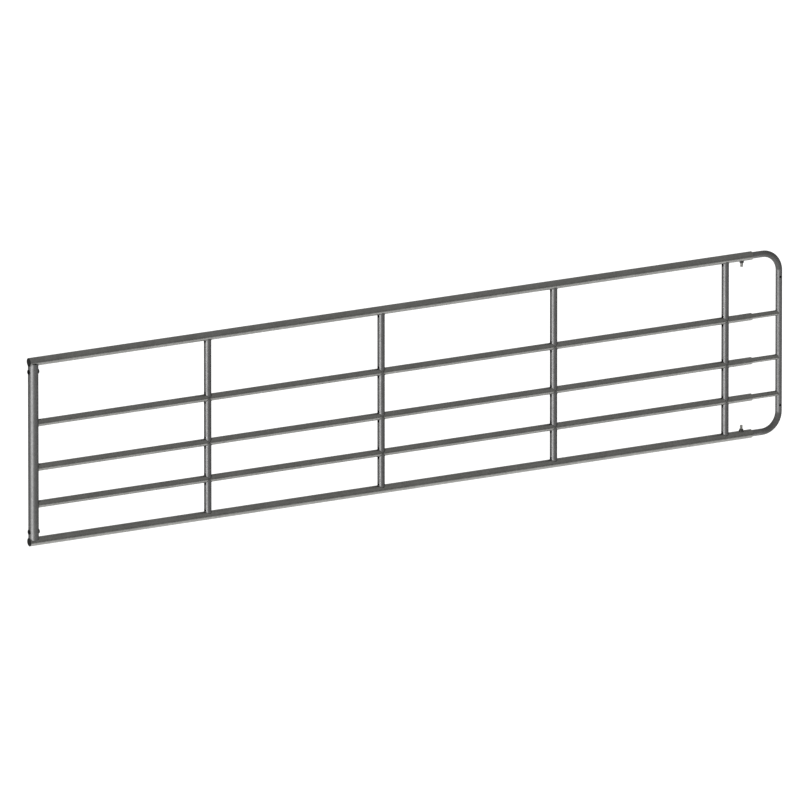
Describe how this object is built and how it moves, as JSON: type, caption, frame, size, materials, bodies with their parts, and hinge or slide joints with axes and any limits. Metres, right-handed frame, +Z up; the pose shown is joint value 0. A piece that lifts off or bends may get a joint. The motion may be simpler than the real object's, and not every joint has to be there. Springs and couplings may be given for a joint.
{
  "type": "telescopic tubular field gate",
  "caption": "Hot-dip galvanised tubular field gate with five rails and a sliding extension held by clamp screws.",
  "frame": {"origin": "centre of the lower hinge bush's outer face, where the gate meets its lower hinge", "axes": "+X from the hinge stile to the latch end, +Z up, +Y through the gate"},
  "size_m": [4.933, 0.06, 1.1],
  "materials": {
    "galvanised_steel": "hot-dip galvanised, dull grey with a faint spangle",
    "weathered_zinc_steel": "zinc coated nut, weathered dark grey",
    "zinc_plated_steel": "zinc plated screw thread, pale grey",
    "black_plastic": "moulded black polyethylene"
  },
  "bodies": {
    "gate_frame": {"hinge_stile": "galvanised_steel", "bottom_rail": "galvanised_steel", "lower_rail": "galvanised_steel", "middle_rail": "galvanised_steel", "upper_rail": "galvanised_steel", "top_rail": "galvanised_steel", "upright_1_bottom": "galvanised_steel", "upright_1_lower": "galvanised_steel", "upright_1_upper": "galvanised_steel", "upright_1_top": "galvanised_steel", "upright_2_bottom": "galvanised_steel", "upright_2_lower": "galvanised_steel", "upright_2_upper": "galvanised_steel", "upright_2_top": "galvanised_steel", "upright_3_bottom": "galvanised_steel", "upright_3_lower": "galvanised_steel", "upright_3_upper": "galvanised_steel", "upright_3_top": "galvanised_steel", "upright_4_bottom": "galvanised_steel", "upright_4_lower": "galvanised_steel", "upright_4_upper": "galvanised_steel", "upright_4_top": "galvanised_steel", "bottom_rail_plug": "black_plastic", "top_rail_plug": "black_plastic", "lower_bush_outer": "black_plastic", "lower_bush_inner": "black_plastic", "upper_bush_outer": "black_plastic", "upper_bush_inner": "black_plastic", "bottom_clamp_nut": "weathered_zinc_steel", "top_clamp_nut": "weathered_zinc_steel"},
    "extension": {"extension_frame": "galvanised_steel", "extension_lower_rail": "galvanised_steel", "extension_middle_rail": "galvanised_steel", "extension_upper_rail": "galvanised_steel"},
    "bottom_clamp": {"bottom_clamp_screw": "zinc_plated_steel"},
    "top_clamp": {"top_clamp_screw": "zinc_plated_steel"}
  },
  "joints": [
    {"name": "extension_slide", "type": "slide", "parent": "gate_frame", "child": "extension", "axis": [1, 0, 0], "range_m": [-0.065, 0.9]},
    {"name": "bottom_clamp_slack", "type": "slide", "parent": "gate_frame", "child": "bottom_clamp", "axis": [0, 0, 1], "range_m": [0, 0.008]},
    {"name": "top_clamp_slack", "type": "slide", "parent": "gate_frame", "child": "top_clamp", "axis": [0, 0, -1], "range_m": [0, 0.008]}
  ]
}
